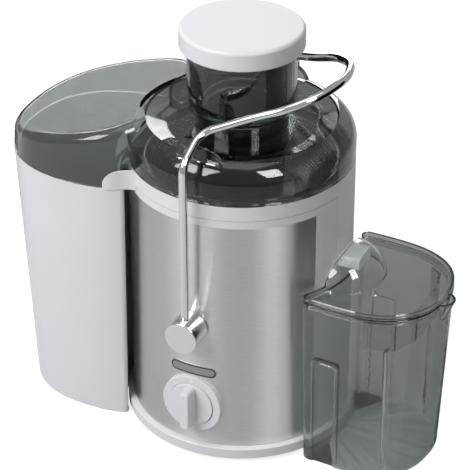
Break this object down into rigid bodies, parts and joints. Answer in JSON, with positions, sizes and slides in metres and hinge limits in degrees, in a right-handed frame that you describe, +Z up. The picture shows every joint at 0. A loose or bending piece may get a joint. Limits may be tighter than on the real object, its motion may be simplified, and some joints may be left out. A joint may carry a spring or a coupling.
{
  "type": "centrifugal juicer",
  "caption": "Countertop centrifugal juicer: round steel-clad body, smoked lid with feed chute, chrome locking arm, pulp container on one side and a covered juice jug on the other.",
  "frame": {"origin": "on the floor under the feet, on the spindle axis", "axes": "+Z up along the spindle, +X towards the juice jug, -Y towards the front with the dial"},
  "size_m": [0.4017, 0.2352, 0.3639],
  "materials": {
    "light_grey_abs": "satin",
    "smoked_plastic": "clear gloss",
    "brushed_stainless": "brushed",
    "chrome": "mirror",
    "inner_plastic": "matt",
    "rubber": "matt",
    "motor_steel": "plain",
    "copper": "enamelled",
    "carbon": "matt"
  },
  "bodies": {
    "main": {"arm_bushes": "inner_plastic", "badge_plate": "brushed_stainless", "base_ring": "light_grey_abs", "base_screws": "motor_steel", "brush_holders": "inner_plastic", "carbon_brushes": "carbon", "cord_gland": "inner_plastic", "dial_bezel": "light_grey_abs", "field_coils": "copper", "front_panel": "light_grey_abs", "housing_deck": "inner_plastic", "juice_bowl": "light_grey_abs", "juice_spout": "light_grey_abs", "lid": "smoked_plastic", "lower_bracket": "motor_steel", "motor_mounts": "rubber", "motor_screws": "motor_steel", "motor_stator": "motor_steel", "pulp_cover": "smoked_plastic", "rear_housing": "light_grey_abs", "rotary_switch": "inner_plastic", "rubber_feet": "rubber", "safety_switch": "inner_plastic", "shaft_bearings": "motor_steel", "shaft_seal": "rubber", "steel_wrap": "brushed_stainless", "upper_bracket": "motor_steel"},
    "arm": {"locking_arm": "chrome", "front_boss": "chrome", "rear_boss": "chrome"},
    "dial": {"dial_knob": "light_grey_abs", "switch_shaft": "inner_plastic"},
    "rotor": {"motor_shaft": "motor_steel", "armature_core": "motor_steel", "armature_windings": "copper", "commutator": "copper", "cooling_fan": "inner_plastic", "drive_coupling": "inner_plastic", "basket_base": "inner_plastic", "grater_disc": "brushed_stainless", "filter_basket": "brushed_stainless"},
    "pusher": {"pusher_cap": "light_grey_abs", "pusher_body": "smoked_plastic"},
    "pulp_box": {"pulp_container": "light_grey_abs"},
    "jug": {"juice_jug": "smoked_plastic", "foam_separator": "smoked_plastic"},
    "jug_cover": {"jug_lid": "smoked_plastic"},
    "plunger": {"safety_plunger": "inner_plastic"}
  },
  "joints": [
    {"name": "arm_swing", "type": "hinge", "parent": "main", "child": "arm", "pos_m": [0, 0, 0.131], "axis": [0, 1, 0], "range_deg": [0, 90]},
    {"name": "dial_turn", "type": "hinge", "parent": "main", "child": "dial", "pos_m": [0, -0.1, 0.054], "axis": [0, 1, 0], "range_deg": [-60, 60]},
    {"name": "rotor_spin", "type": "hinge", "parent": "main", "child": "rotor", "pos_m": [0, 0, 0.1], "axis": [0, 0, 1], "continuous": true},
    {"name": "pusher_lift", "type": "slide", "parent": "main", "child": "pusher", "axis": [0, 0, 1], "range_m": [0, 0.13]},
    {"name": "pulp_slide", "type": "slide", "parent": "main", "child": "pulp_box", "axis": [-1, 0, 0], "range_m": [0, 0.15]},
    {"name": "jug_slide", "type": "slide", "parent": "main", "child": "jug", "axis": [0.9986, -0.0523, 0], "range_m": [0, 0.16]},
    {"name": "jug_lid_lift", "type": "slide", "parent": "jug", "child": "jug_cover", "axis": [0, 0, 1], "range_m": [0, 0.04]},
    {"name": "plunger_travel", "type": "slide", "parent": "main", "child": "plunger", "axis": [0, 0, 1], "range_m": [0, 0.0021]}
  ],
  "couplings": [
    {"joint": "plunger_travel", "follows": "arm_swing", "m_per_rad": 0.0012732}
  ]
}
